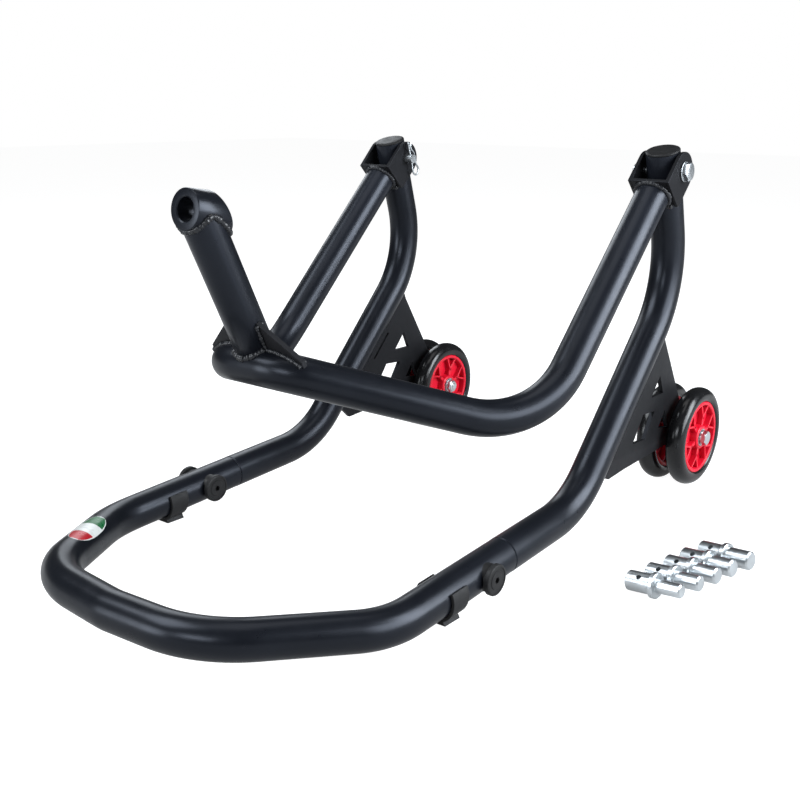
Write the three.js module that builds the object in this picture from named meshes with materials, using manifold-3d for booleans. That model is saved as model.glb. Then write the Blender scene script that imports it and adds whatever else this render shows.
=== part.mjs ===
// Front paddock stand for a motorcycle, with a hinged head-lift frame and five loose spigots.
// Units are millimetres. +X runs across the stand, +Y from the foot loop back to the wheels, +Z up.
import * as THREE from 'three';
import { mergeVertices } from 'three/addons/utils/BufferGeometryUtils.js';
import Module from 'manifold-3d';

const wasm = await Module();
wasm.setup();

// ---------------------------------------------------------------- driving dimensions
const TUBE_D = 38;               // outside diameter of the frame tubes
const TUBE_WALL = 2;
const TUBE_SIDES = 12;
const GAP = 0.3;                 // clearance left between pieces that touch
const HALF_SPAN = 197;           // centre plane to the centreline of each side rail

const LOOP_NOSE = [0, -278, 34];         // front of the foot loop
const LOOP_CORNER = [106, -270, 34];     // splayed front corners
const LOOP_KINK = [HALF_SPAN, -130, 20.5];
const RAIL_BEND = [HALF_SPAN, 186, 38.5];
const RAIL_ELBOW = [HALF_SPAN, 396, 259];
const MAST_DIR = [0, -0.2842, 0.9588];   // direction of the straight top of each rail
const PIN_UP_MAST = 140.4;               // elbow vertex to hinge pin, along the mast
const MAST_ABOVE_PIN = 21.5;
const R_NOSE = 70;
const R_CORNER = 102;
const R_KINK = 100;
const R_RAIL_BEND = 114;
const R_ELBOW = 119;
const JOINT_Y = 46;                      // where loop and side rail meet
const SLEEVE_FROM_Y = -34;
const SLEEVE_TO_Y = 112;
const SLEEVE_R = 16;
const SLEEVE_WALL = 2;

const CROSS_BOLT_Y = 0;
const CROSS_BOLT_R = 3.9;
const SCREW_CAP_R = 15.8;
const SCREW_CAP_BOSS_R = 9;
const SCREW_CAP_FACE = 26.7;                  // rail centreline to the cap's outer face
const SCREW_CAP_THICK = 5.6;

const PAD_Y = [-64, -40];
const PAD_WALL = 2.8;
const PAD_WRAP_DEG = 28;                 // how far each cheek reaches above the tube's middle
const PAD_FOOT_W = 25;

const ARM_DIR = [0, -0.7097, -0.7045];   // from the hinge pin down along each lift arm
const ARM_BEND = [HALF_SPAN, 105.5, 144.8];
const LIFT_NOSE = [38.7, -94.9, 221.3];        // where each half of the crossbar meets the flat of the nose
const R_ARM_BEND = 113;
const R_LIFT_NOSE = 45;
const UPRIGHT_R = 19;
const UPRIGHT_FOOT = [0, -87, 224.3];
const UPRIGHT_TOP = [0, -159.3, 374.6];
const BUSH_CENTRE = [0, -151.8, 373.1];
const BUSH_TILT_DEG = 8;
const BUSH_R = 19;
const BUSH_BORE_R = 11;
const BUSH_FRONT = 21;                         // bush centre to its front face
const BUSH_REAR = 16;                          // bush centre to the middle of its slanted rear face
const BUSH_REAR_LEAN = 12;                     // how much the rear face gains from middle to bottom
const GUSSET_T = 5;
const GUSSET_REACH = 61.5;                     // upright's middle to the gusset's outer edge
const GUSSET_TOP = 49;

const EAR_T = 4.5;
const EAR_GAP = 40;
const EAR_R = 21.5;
const WEB_OUT = 35;                      // hinge pin to the outer face of the bracket's web
const WEB_T = 4;
const WEB_LOW = -16.8;
const WEB_HIGH = 21;

const PIN_R = 6;
const PIN_HOLE_R = 6.5;
const PIN_HEAD_AF = 19;
const PIN_HEAD_H = 7.5;
const PIN_TAIL = 12;                     // how far the pin stands out past the inner ear
const CLIP_WIRE_R = 1.25;
const CLIP_HOLE_R = 1.9;
const CLIP_OFFSET = 6.5;
const PIN_TURN_DEG = { right: -60, left: 0 };   // each pin's cross hole and clip, turned from the mast

const WHEEL_R = 62;
const TYRE_HALF_W = 12;
const HUB_R = 44.8;
const TYRE_BORE_R = 45.5;
const HUB_CORE_R = 15;
const HUB_WEB_HALF = 2.4;
const HUB_RIM_HALF = 10;
const HUB_RIBS = 6;
const WHEEL_OFFSET = 19.5;               // plate middle to wheel middle
const AXLE_Y = 451.6;
const AXLE_R = 5;
const BEARING_R = 11;
const BEARING_W = 7;
const PLATE_T = 5;
const AXLE_LOBE_R = 16;

const SPIGOT_BASE_R = 10.25;
const SPIGOT_BASE_L = 26;
const SPIGOT_FLANGE_R = 13;
const SPIGOT_FLANGE_T = 6;
const SPIGOT_TIP_L = 26;
// tip diameter, base end on the floor (x, y) and heading in degrees for each loose spigot
const SPIGOTS = [
  { name: 'spigot_14', d: 14.0, x: 303, y: 117.5, heading: -4 },
  { name: 'spigot_15', d: 15.5, x: 310, y: 147, heading: -6 },
  { name: 'spigot_17', d: 17.0, x: 316, y: 177, heading: -8 },
  { name: 'spigot_18', d: 18.0, x: 321, y: 205, heading: -9 },
  { name: 'spigot_20', d: 19.5, x: 328, y: 234, heading: -9 },
];

const ORIGIN_X = 75.257;                     // middle of the whole set's box, in the frame above
const ORIGIN_Y = 108.516;

// ---------------------------------------------------------------- materials
function paint(color, roughness, metalness) {
  return new THREE.MeshStandardMaterial({ color, roughness, metalness });
}
const BLACK_TUBE = () => paint(0x1b1d20, 0.42, 0.2);
const BLACK_PLATE = () => paint(0x1d1d1e, 0.6, 0.15);
const BLACK_PLASTIC = () => paint(0x141516, 0.55, 0.0);
const RUBBER = () => paint(0x101010, 0.5, 0.0);
const RED = () => paint(0xd8202c, 0.4, 0.0);
const ZINC = () => paint(0xc3c9cf, 0.28, 0.95);

// ---------------------------------------------------------------- helpers
const root = new THREE.Group();
root.name = 'paddock_stand';
root.position.set(-ORIGIN_X, -ORIGIN_Y, 0);

function add(name, geometry, material, parent = root) {
  const mesh = new THREE.Mesh(geometry, material);
  mesh.name = name;
  parent.add(mesh);
  return mesh;
}

function vec(p) {
  return new THREE.Vector3(p[0], p[1], p[2]);
}

function solid(geometry) {
  const g = geometry.clone();
  g.deleteAttribute('normal');
  g.deleteAttribute('uv');
  const m = mergeVertices(g, 1e-4);
  const vertProperties = Float32Array.from(m.attributes.position.array);
  const triVerts = Uint32Array.from(m.index.array);
  return new wasm.Manifold(new wasm.Mesh({ numProp: 3, vertProperties, triVerts }));
}

function fromSolid(manifold) {
  const mesh = manifold.getMesh();
  const g = new THREE.BufferGeometry();
  const n = mesh.vertProperties.length / mesh.numProp;
  const pos = new Float32Array(n * 3);
  for (let i = 0; i < n; i += 1) {
    pos[3 * i] = mesh.vertProperties[mesh.numProp * i];
    pos[3 * i + 1] = mesh.vertProperties[mesh.numProp * i + 1];
    pos[3 * i + 2] = mesh.vertProperties[mesh.numProp * i + 2];
  }
  g.setAttribute('position', new THREE.BufferAttribute(pos, 3));
  g.setIndex(new THREE.BufferAttribute(Uint32Array.from(mesh.triVerts), 1));
  g.computeVertexNormals();
  return g;
}

function cut(geometry, ...tools) {
  let body = solid(geometry);
  for (const tool of tools) body = body.subtract(solid(tool));
  return fromSolid(body);
}

function join(geometry, ...others) {
  let body = solid(geometry);
  for (const other of others) body = body.add(solid(other));
  return fromSolid(body);
}

// Cylinder whose axis is +X, from x0 to x1.
function rodX(r, x0, x1, y, z, sides = 16) {
  const g = new THREE.CylinderGeometry(r, r, x1 - x0, sides);
  g.rotateZ(-Math.PI / 2);
  g.translate((x0 + x1) / 2, y, z);
  return g;
}

// Closed ring or disc turned about +X: profile points are [radius, x].
function turnX(profile, sides) {
  const points = profile.map((p) => new THREE.Vector2(p[0], p[1]));
  const g = new THREE.LatheGeometry(points, sides);
  g.rotateZ(-Math.PI / 2);
  return g;
}

function ring(profile) {
  return [...profile, profile[0]];
}

function polygonShape(points) {
  const shape = new THREE.Shape();
  shape.moveTo(points[0][0], points[0][1]);
  for (const p of points.slice(1)) shape.lineTo(p[0], p[1]);
  shape.closePath();
  return shape;
}

function circlePoints(cx, cy, r, sides, start = 0, sweep = Math.PI * 2, closed = true) {
  const out = [];
  const n = closed ? sides : sides + 1;
  for (let i = 0; i < n; i += 1) {
    const a = start + (sweep * i) / sides;
    out.push([cx + r * Math.cos(a), cy + r * Math.sin(a)]);
  }
  return out;
}

function holePath(points) {
  const path = new THREE.Path();
  path.moveTo(points[0][0], points[0][1]);
  for (const p of points.slice(1)) path.lineTo(p[0], p[1]);
  path.closePath();
  return path;
}

// Straight runs joined by arcs, given as corner points and one radius per inner corner.
function bendLine(corners, radii, stepDeg = 8) {
  const pts = corners.map(vec);
  const out = [pts[0].clone()];
  for (let i = 1; i < pts.length - 1; i += 1) {
    const a = pts[i - 1].clone().sub(pts[i]).normalize();
    const b = pts[i + 1].clone().sub(pts[i]).normalize();
    const turn = Math.PI - Math.acos(THREE.MathUtils.clamp(a.dot(b), -1, 1));
    const r = radii[i - 1];
    const back = r * Math.tan(turn / 2);
    const bis = a.clone().add(b).normalize();
    const centre = pts[i].clone().addScaledVector(bis, r / Math.cos(turn / 2));
    const start = pts[i].clone().addScaledVector(a, back);
    const e0 = start.clone().sub(centre).divideScalar(r);
    const e1 = a.clone().negate();
    const steps = Math.max(1, Math.round(THREE.MathUtils.radToDeg(turn) / stepDeg));
    for (let k = 0; k <= steps; k += 1) {
      const t = (turn * k) / steps;
      out.push(
        centre.clone()
          .addScaledVector(e0, r * Math.cos(t))
          .addScaledVector(e1, r * Math.sin(t)),
      );
    }
  }
  out.push(pts[pts.length - 1].clone());
  return out;
}

// A curve that visits each station in turn, so that straight runs cost one step.
class StationCurve extends THREE.Curve {
  constructor(stations) {
    super();
    this.stations = stations;
  }

  getPoint(t, target = new THREE.Vector3()) {
    const n = this.stations.length - 1;
    const f = THREE.MathUtils.clamp(t, 0, 1) * n;
    const i = Math.min(Math.floor(f + 1e-9), n - 1);
    return target.lerpVectors(this.stations[i], this.stations[i + 1], f - i);
  }

  getPointAt(u, target) {
    return this.getPoint(u, target);
  }

  getTangent(t, target = new THREE.Vector3()) {
    const n = this.stations.length - 1;
    const i = Math.round(THREE.MathUtils.clamp(t, 0, 1) * n);
    const here = this.stations[i];
    const after = i < n ? this.stations[i + 1].clone().sub(here).normalize() : null;
    const before = i > 0 ? here.clone().sub(this.stations[i - 1]).normalize() : null;
    if (after === null) return target.copy(before);
    if (before === null) return target.copy(after);
    return target.copy(before).add(after).normalize();
  }

  getTangentAt(u, target) {
    return this.getTangent(u, target);
  }
}

function sweep(stations, outer, inner, sides = TUBE_SIDES) {
  const shape = polygonShape(circlePoints(0, 0, outer, sides));
  if (inner > 0) shape.holes.push(holePath(circlePoints(0, 0, inner, sides).reverse()));
  return new THREE.ExtrudeGeometry(shape, {
    steps: stations.length - 1,
    bevelEnabled: false,
    extrudePath: new StationCurve(stations),
  });
}

function extrudeX(points, holes, x0, x1) {
  // points are [y, z]; the prism runs from x0 to x1
  const shape = polygonShape(points);
  for (const h of holes) shape.holes.push(holePath(h));
  const g = new THREE.ExtrudeGeometry(shape, { depth: x1 - x0, bevelEnabled: false });
  const basis = new THREE.Matrix4().makeBasis(
    new THREE.Vector3(0, 1, 0),
    new THREE.Vector3(0, 0, 1),
    new THREE.Vector3(1, 0, 0),
  );
  g.applyMatrix4(basis);
  g.translate(x0, 0, 0);
  return g;
}

const R = TUBE_D / 2;
const RI = R - TUBE_WALL;
const SIDES = [['left', -1], ['right', 1]];

function railZ(y) {
  const slope = (RAIL_BEND[2] - LOOP_KINK[2]) / (RAIL_BEND[1] - LOOP_KINK[1]);
  return LOOP_KINK[2] + slope * (y - LOOP_KINK[1]);
}

function mirrored(p, sign) {
  return [p[0] * sign, p[1], p[2]];
}

const PIN = vec(RAIL_ELBOW).addScaledVector(vec(MAST_DIR), PIN_UP_MAST);
const MAST_TOP = PIN.clone().addScaledVector(vec(MAST_DIR), MAST_ABOVE_PIN);

// ---------------------------------------------------------------- foot loop
{
  const start = [HALF_SPAN, JOINT_Y - GAP / 2, railZ(JOINT_Y)];
  const corners = [
    mirrored(start, -1), mirrored(LOOP_KINK, -1), mirrored(LOOP_CORNER, -1), LOOP_NOSE,
    LOOP_CORNER, LOOP_KINK, start,
  ];
  const line = bendLine(corners, [R_KINK, R_CORNER, R_NOSE, R_CORNER, R_KINK], 10);
  const z = railZ(CROSS_BOLT_Y);
  const bolts = rodX(CROSS_BOLT_R + 0.5, -HALF_SPAN - 30, -HALF_SPAN + 30, CROSS_BOLT_Y, z, 12);
  const boltsR = rodX(CROSS_BOLT_R + 0.5, HALF_SPAN - 30, HALF_SPAN + 30, CROSS_BOLT_Y, z, 12);
  add('foot_loop', cut(sweep(line, R, RI), bolts, boltsR), BLACK_TUBE());
}

// ---------------------------------------------------------------- side rails and what they carry
for (const [side, s] of SIDES) {
  const x = HALF_SPAN * s;
  const from = [x, JOINT_Y + GAP / 2, railZ(JOINT_Y)];
  const line = bendLine(
    [from, mirrored(RAIL_BEND, s), mirrored(RAIL_ELBOW, s), [x, MAST_TOP.y, MAST_TOP.z]],
    [R_RAIL_BEND, R_ELBOW],
    10,
  );
  const pinHole = rodX(PIN_HOLE_R, x - 30, x + 30, PIN.y, PIN.z, 12);
  add(`side_rail_${side}`, cut(sweep(line, R, RI), pinHole), BLACK_TUBE());

  // inner sleeve that joins rail and loop
  const sleeve = sweep(
    [vec([x, SLEEVE_FROM_Y, railZ(SLEEVE_FROM_Y)]), vec([x, SLEEVE_TO_Y, railZ(SLEEVE_TO_Y)])],
    SLEEVE_R,
    SLEEVE_R - SLEEVE_WALL,
    12,
  );
  const zb = railZ(CROSS_BOLT_Y);
  const boltHole = rodX(CROSS_BOLT_R + 0.5, x - 30, x + 30, CROSS_BOLT_Y, zb, 12);
  add(`joint_sleeve_${side}`, cut(sleeve, boltHole), BLACK_PLATE());

  // cross bolt with its plastic screw caps
  add(`cross_bolt_${side}`, rodX(CROSS_BOLT_R, x - R + 0.1, x + R - 0.1, CROSS_BOLT_Y, zb, 10), ZINC());
  const capSides = side === 'left' ? [['outer', -1], ['inner', 1]] : [['outer', 1]];
  for (const [place, dir] of capSides) {
    const inward = SCREW_CAP_FACE - SCREW_CAP_THICK;
    const disc = turnX([
      [0, 15], [SCREW_CAP_BOSS_R, 15], [SCREW_CAP_BOSS_R, inward], [SCREW_CAP_R - 1, inward],
      [SCREW_CAP_R, inward + 1], [SCREW_CAP_R, SCREW_CAP_FACE - 1.2], [SCREW_CAP_R - 1.2, SCREW_CAP_FACE], [0, SCREW_CAP_FACE],
    ], 16);
    const hex = rodX(2.9, SCREW_CAP_FACE - 4, SCREW_CAP_FACE + 2, 0, 0, 6);
    const bed = new THREE.CylinderGeometry(R + 0.4, R + 0.4, 60, 24);
    const screwCap = cut(disc, hex, bed);
    if (dir < 0) screwCap.rotateZ(Math.PI);
    screwCap.translate(x, CROSS_BOLT_Y, zb);
    add(`screw_cap_${side}_${place}`, screwCap, BLACK_PLASTIC());
  }
  if (side === 'right') {
    const insert = cut(
      rodX(6, x - R - 3, x - R + 4, CROSS_BOLT_Y, zb, 12),
      rodX(R + 0.4, -1, 1, 0, 0, 24).rotateZ(Math.PI / 2).scale(1, 30, 1).translate(x, 0, zb),
    );
    add('cross_bolt_insert_right', insert, ZINC());
  }

  // rubber foot pad, a saddle under the tube with a flat sole on the floor
  const wrap = THREE.MathUtils.degToRad(PAD_WRAP_DEG);
  const innerArc = circlePoints(0, 0, R + 0.7, 14, wrap, -Math.PI - 2 * wrap, false);
  const outR = R + 0.7 + PAD_WALL;
  const outline = [
    ...innerArc,
    ...circlePoints(0, 0, outR, 6, Math.PI - wrap, 0.36 * Math.PI + wrap, false),
    [-PAD_FOOT_W / 2, -34],
    [PAD_FOOT_W / 2, -34],
    ...circlePoints(0, 0, outR, 6, -0.36 * Math.PI, 0.36 * Math.PI + wrap, false),
  ];
  const padLen = PAD_Y[1] - PAD_Y[0];
  const padRaw = new THREE.ExtrudeGeometry(polygonShape(outline), { depth: padLen, bevelEnabled: false });
  const slope = Math.atan2(railZ(PAD_Y[1]) - railZ(PAD_Y[0]), padLen);
  padRaw.rotateX(Math.PI / 2);
  padRaw.translate(0, padLen, 0);
  padRaw.rotateX(slope);
  padRaw.translate(x, PAD_Y[0], railZ(PAD_Y[0]));
  const floor = new THREE.BoxGeometry(200, 200, 60).translate(x, -50, -30);
  add(`foot_pad_${side}`, cut(padRaw, floor), RUBBER());

  // plastic cap in the top of the rail
  const cap = turnX([
    [0, -12], [15.4, -12], [15.9, -9], [15.9, 0.3], [17.9, 0.3], [17.9, 1.9], [16.6, 3], [0, 3],
  ], 16);
  cap.rotateY(-Math.PI / 2);
  cap.rotateX(Math.atan2(-MAST_DIR[1], MAST_DIR[2]));
  cap.translate(x, MAST_TOP.y, MAST_TOP.z);
  add(`rail_cap_${side}`, cap, BLACK_PLASTIC());
}

// ---------------------------------------------------------------- wheel plates
function besideRail(along, off) {
  // [y, z] at a distance along the sloping run of the rail and off its lower side
  const d = new THREE.Vector2(RAIL_ELBOW[1] - RAIL_BEND[1], RAIL_ELBOW[2] - RAIL_BEND[2]).normalize();
  return [
    RAIL_BEND[1] + d.x * along + d.y * off,
    RAIL_BEND[2] + d.y * along - d.x * off,
  ];
}

const PLATE_OUTLINE = [
  besideRail(62, R + 0.5),
  besideRail(62, R + 27),
  [300, 54],
  [412, 57],
  ...circlePoints(AXLE_Y, WHEEL_R, AXLE_LOBE_R, 8, -1.75, 2.15, false),
  [384, 198],
  [379.5, 208],
  [366.5, 199.5],
  besideRail(234, R + 0.5),
];
const PLATE_HOLES = [
  circlePoints(AXLE_Y, WHEEL_R, AXLE_R + 0.6, 14),
  [[380, 151], [391, 127.5], [359.5, 127.5]],
  [[341, 111], [371, 109], [350, 78], [318, 80]],
  [[400, 104], [411, 80], [384, 84]],
  [besideRail(80, R + 15), besideRail(116, R + 15), besideRail(116, R + 18), besideRail(80, R + 18)],
  [besideRail(150, R + 14), besideRail(194, R + 14), besideRail(194, R + 17), besideRail(150, R + 17)],
];
for (const [side, s] of SIDES) {
  const x = HALF_SPAN * s;
  const plate = extrudeX(PLATE_OUTLINE, PLATE_HOLES, x - PLATE_T / 2, x + PLATE_T / 2);
  add(`wheel_plate_${side}`, plate, BLACK_PLATE());
}

// ---------------------------------------------------------------- wheels, axles
function tyreGeometry() {
  return turnX(ring([
    [TYRE_BORE_R, -10], [50, -TYRE_HALF_W], [56, -TYRE_HALF_W], [WHEEL_R, -5],
    [WHEEL_R, 5], [56, TYRE_HALF_W], [50, TYRE_HALF_W], [TYRE_BORE_R, 10],
  ]), 24);
}

// Moulded hub: bearing core, thin web and rim, stiffened on both faces by forked ribs.
function hubGeometry() {
  let body = solid(turnX(ring([
    [BEARING_R + GAP, -TYRE_HALF_W], [HUB_CORE_R, -TYRE_HALF_W], [HUB_CORE_R, -HUB_WEB_HALF],
    [HUB_R - 5, -HUB_WEB_HALF], [HUB_R - 5, -HUB_RIM_HALF], [HUB_R, -HUB_RIM_HALF],
    [HUB_R, HUB_RIM_HALF], [HUB_R - 5, HUB_RIM_HALF], [HUB_R - 5, HUB_WEB_HALF],
    [HUB_CORE_R, HUB_WEB_HALF], [HUB_CORE_R, TYRE_HALF_W], [BEARING_R + GAP, TYRE_HALF_W],
  ]), 18));
  for (let k = 0; k < HUB_RIBS; k += 1) {
    const angle = (k * Math.PI * 2) / HUB_RIBS + 0.3;
    const fork = [
      [13.5, 3.1], [26, 2.6], [HUB_R - 4, 12], [HUB_R - 2.5, 7.4], [30, 0], [HUB_R - 2.5, -7.4],
      [HUB_R - 4, -12], [26, -2.6], [13.5, -3.1],
    ].map(([u, v]) => [u * Math.cos(angle) - v * Math.sin(angle), u * Math.sin(angle) + v * Math.cos(angle)]);
    body = body.add(solid(extrudeX(fork, [], -HUB_RIM_HALF + 0.6, HUB_RIM_HALF - 0.6)));
  }
  return fromSolid(body);
}

const HUB = hubGeometry();
const TYRE = tyreGeometry();
for (const [side, s] of SIDES) {
  const x = HALF_SPAN * s;
  for (const [place, dir] of [['outer', s], ['inner', -s]]) {
    const wx = x + WHEEL_OFFSET * dir;
    const wheel = new THREE.Group();
    wheel.position.set(wx, AXLE_Y, WHEEL_R);
    root.add(wheel);
    add(`tyre_${side}_${place}`, TYRE.clone(), RUBBER(), wheel);
    add(`hub_${side}_${place}`, HUB.clone(), RED(), wheel);
    for (const [end, e] of [['a', -1], ['b', 1]]) {
      const b0 = TYRE_HALF_W - BEARING_W;
      const bearing = turnX(ring([
        [AXLE_R + 0.4, b0], [BEARING_R, b0], [BEARING_R, TYRE_HALF_W], [AXLE_R + 0.4, TYRE_HALF_W],
      ]), 12);
      if (e < 0) bearing.rotateZ(Math.PI);
      add(`bearing_${side}_${place}_${end}`, bearing, ZINC(), wheel);
    }
    // spacer between plate and bearing
    const near = PLATE_T / 2 + GAP;
    const far = WHEEL_OFFSET - TYRE_HALF_W - GAP;
    const spacer = turnX(ring([[AXLE_R + 0.5, near], [8, near], [8, far], [AXLE_R + 0.5, far]]), 12);
    if (dir < 0) spacer.rotateZ(Math.PI);
    spacer.translate(x, AXLE_Y, WHEEL_R);
    add(`axle_spacer_${side}_${place}`, spacer, ZINC());
  }
  // axle bolt: hexagon head on the outer side, nut on the inner side
  const face = WHEEL_OFFSET + TYRE_HALF_W + GAP;
  const shank = rodX(AXLE_R, -face - 9, face + 1, 0, 0, 14);
  const flange = rodX(8.6, face, face + 1.8, 0, 0, 16);
  const head = rodX(9.6, face + 1.5, face + 7.2, 0, 0, 6);
  const bolt = join(shank, flange, head);
  if (s < 0) bolt.rotateZ(Math.PI);
  bolt.translate(x, AXLE_Y, WHEEL_R);
  add(`axle_bolt_${side}`, bolt, ZINC());
  const nut = cut(
    join(rodX(10, -face - 1.8, -face, 0, 0, 16), rodX(9.6, -face - 8, -face - 1.5, 0, 0, 6)),
    rodX(AXLE_R + 0.5, -face - 20, -face + 5, 0, 0, 14),
  );
  if (s < 0) nut.rotateZ(Math.PI);
  nut.translate(x, AXLE_Y, WHEEL_R);
  add(`axle_nut_${side}`, nut, ZINC());
}

// ---------------------------------------------------------------- lift frame
const ARM_TOP = PIN.clone().addScaledVector(vec(ARM_DIR), WEB_OUT + GAP);
const liftCorners = [
  [-HALF_SPAN, ARM_TOP.y, ARM_TOP.z], mirrored(ARM_BEND, -1), mirrored(LIFT_NOSE, -1), LIFT_NOSE, ARM_BEND,
  [HALF_SPAN, ARM_TOP.y, ARM_TOP.z],
];
const liftLine = bendLine(liftCorners, [R_ARM_BEND, R_LIFT_NOSE, R_LIFT_NOSE, R_ARM_BEND], 10);
add('lift_tube', sweep(liftLine, R, RI), BLACK_TUBE());

const BUSH_DIR = [
  0, -Math.cos(THREE.MathUtils.degToRad(BUSH_TILT_DEG)), Math.sin(THREE.MathUtils.degToRad(BUSH_TILT_DEG)),
];
{
  // upright between crossbar and bush, coped to both
  const upright = sweep([vec(UPRIGHT_FOOT), vec(UPRIGHT_TOP)], UPRIGHT_R, UPRIGHT_R - 2, 16);
  const crossbarTool = sweep(liftLine, R + 0.5, 0, 16);
  const b0 = vec(BUSH_CENTRE).addScaledVector(vec(BUSH_DIR), -60);
  const b1 = vec(BUSH_CENTRE).addScaledVector(vec(BUSH_DIR), 60);
  const bushTool = sweep([b0, b1], BUSH_R + 0.45, 0, 20);
  const aboveBush = new THREE.BoxGeometry(90, 160, 60);
  aboveBush.rotateX(-THREE.MathUtils.degToRad(BUSH_TILT_DEG));
  aboveBush.translate(0, BUSH_CENTRE[1], BUSH_CENTRE[2] + 28);
  add('lift_upright', cut(upright, crossbarTool, bushTool, aboveBush), BLACK_TUBE());

  // head bush
  const bush = turnX(ring([
    [BUSH_BORE_R + 1, -BUSH_REAR], [BUSH_R - 0.8, -BUSH_REAR], [BUSH_R, -BUSH_REAR + 0.8],
    [BUSH_R, BUSH_FRONT - 0.8], [BUSH_R - 0.8, BUSH_FRONT], [BUSH_BORE_R + 1, BUSH_FRONT],
    [BUSH_BORE_R, BUSH_FRONT - 1], [BUSH_BORE_R, -BUSH_REAR + 1],
  ]), 20);
  const at = bush.attributes.position;
  for (let i = 0; i < at.count; i++) {
    if (at.getX(i) < 0) at.setX(i, at.getX(i) + (BUSH_REAR_LEAN * at.getZ(i)) / BUSH_R);
  }
  bush.rotateZ(-Math.PI / 2);
  bush.rotateX(-THREE.MathUtils.degToRad(BUSH_TILT_DEG));
  bush.translate(...BUSH_CENTRE);
  add('head_bush', bush, BLACK_TUBE());
}

// gussets beside the upright, standing on the crossbar
for (const [side, s] of SIDES) {
  const foot = vec(UPRIGHT_FOOT);
  const up = vec(UPRIGHT_TOP).sub(foot).normalize();
  const out = new THREE.Vector3(s, 0, 0);
  const shape = polygonShape([
    [2, -4], [GUSSET_REACH, -4], [GUSSET_REACH, 11], [UPRIGHT_R, GUSSET_TOP], [2, GUSSET_TOP],
  ]);
  const g = new THREE.ExtrudeGeometry(shape, { depth: GUSSET_T, bevelEnabled: false });
  g.translate(0, 0, -GUSSET_T / 2);
  g.applyMatrix4(new THREE.Matrix4().makeBasis(out, up, new THREE.Vector3().crossVectors(out, up)));
  g.translate(foot.x, foot.y, foot.z);
  const uprightTool = sweep(
    [foot.clone().addScaledVector(up, -40), foot.clone().addScaledVector(up, 120)], UPRIGHT_R + 0.45, 0, 24,
  );
  add(`gusset_${side}`, cut(g, sweep(liftLine, R + 0.5, 0, 16), uprightTool), BLACK_PLATE());
}

// clevis brackets, hinge pins and spring clips
const TILT = Math.atan2(-ARM_DIR[2], -ARM_DIR[1]);
for (const [side, s] of SIDES) {
  const hinge = new THREE.Group();
  hinge.position.set(HALF_SPAN * s, PIN.y, PIN.z);
  root.add(hinge);

  const half = EAR_GAP / 2;
  const earOutline = [
    [-WEB_OUT, WEB_HIGH], [-WEB_OUT, -19.5], [-WEB_OUT + 2, -21],
    ...circlePoints(0, 0, EAR_R, 10, -Math.PI / 2, Math.PI, false),
  ];
  const bore = circlePoints(0, 0, PIN_HOLE_R, 14);
  const earA = extrudeX(earOutline, [bore], -half - EAR_T, -half);
  const earB = extrudeX(earOutline, [bore], half, half + EAR_T);
  const web = new THREE.BoxGeometry(EAR_GAP + EAR_T, WEB_T, WEB_HIGH - WEB_LOW);
  web.translate(0, -WEB_OUT + WEB_T / 2, (WEB_HIGH + WEB_LOW) / 2);
  const bracket = join(web, earA, earB);
  bracket.rotateX(TILT);
  add(`clevis_bracket_${side}`, bracket, BLACK_PLATE(), hinge);

  const earFace = half + EAR_T;
  const clipX = -(earFace + CLIP_OFFSET);
  const pinBody = join(
    rodX(PIN_R, -earFace - PIN_TAIL, earFace + 1, 0, 0, 16),
    rodX(11.2, earFace + GAP, earFace + 1.8, 0, 0, 18),
    rodX(PIN_HEAD_AF / Math.sqrt(3), earFace + 1.2, earFace + PIN_HEAD_H, 0, 0, 6),
  );
  const crossHole = new THREE.CylinderGeometry(CLIP_HOLE_R, CLIP_HOLE_R, 40, 10);
  crossHole.rotateX(Math.PI / 2);
  crossHole.translate(clipX, 0, 0);
  const pin = cut(pinBody, crossHole);
  const turn = Math.atan2(-MAST_DIR[1], MAST_DIR[2]) + THREE.MathUtils.degToRad(PIN_TURN_DEG[side]);
  pin.rotateX(turn);
  if (s < 0) pin.scale(-1, 1, 1);
  const pinGeometry = s < 0 ? flip(pin) : pin;
  add(`hinge_pin_${side}`, pinGeometry, ZINC(), hinge);

  // spring clip: straight leg through the pin, eye below, bowed leg round the pin
  const wire = [
    [0, 21], [0, 10], [0, 0], [0, -10], [-0.5, -15], [0.5, -20.5], [4.5, -24], [9.5, -22.5],
    [11.5, -17.5], [9.5, -12.5], [8.2, -8], [8.6, -3], [8.8, 1], [7.4, 6], [4.2, 11], [3.4, 15], [5.6, 21],
  ].map((p) => new THREE.Vector3(0, p[0], p[1]));
  const curve = new THREE.CatmullRomCurve3(wire);
  const clip = new THREE.ExtrudeGeometry(polygonShape(circlePoints(0, 0, CLIP_WIRE_R, 5)), {
    steps: 28, bevelEnabled: false, extrudePath: curve,
  });
  clip.rotateX(turn);
  clip.translate(clipX * s, 0, 0);
  add(`spring_clip_${side}`, clip, ZINC(), hinge);
}

// Reverse the winding after a mirror so that faces point outward again.
function flip(geometry) {
  const index = geometry.index.array;
  for (let i = 0; i < index.length; i += 3) {
    const t = index[i];
    index[i] = index[i + 1];
    index[i + 1] = t;
  }
  geometry.computeVertexNormals();
  return geometry;
}

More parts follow.
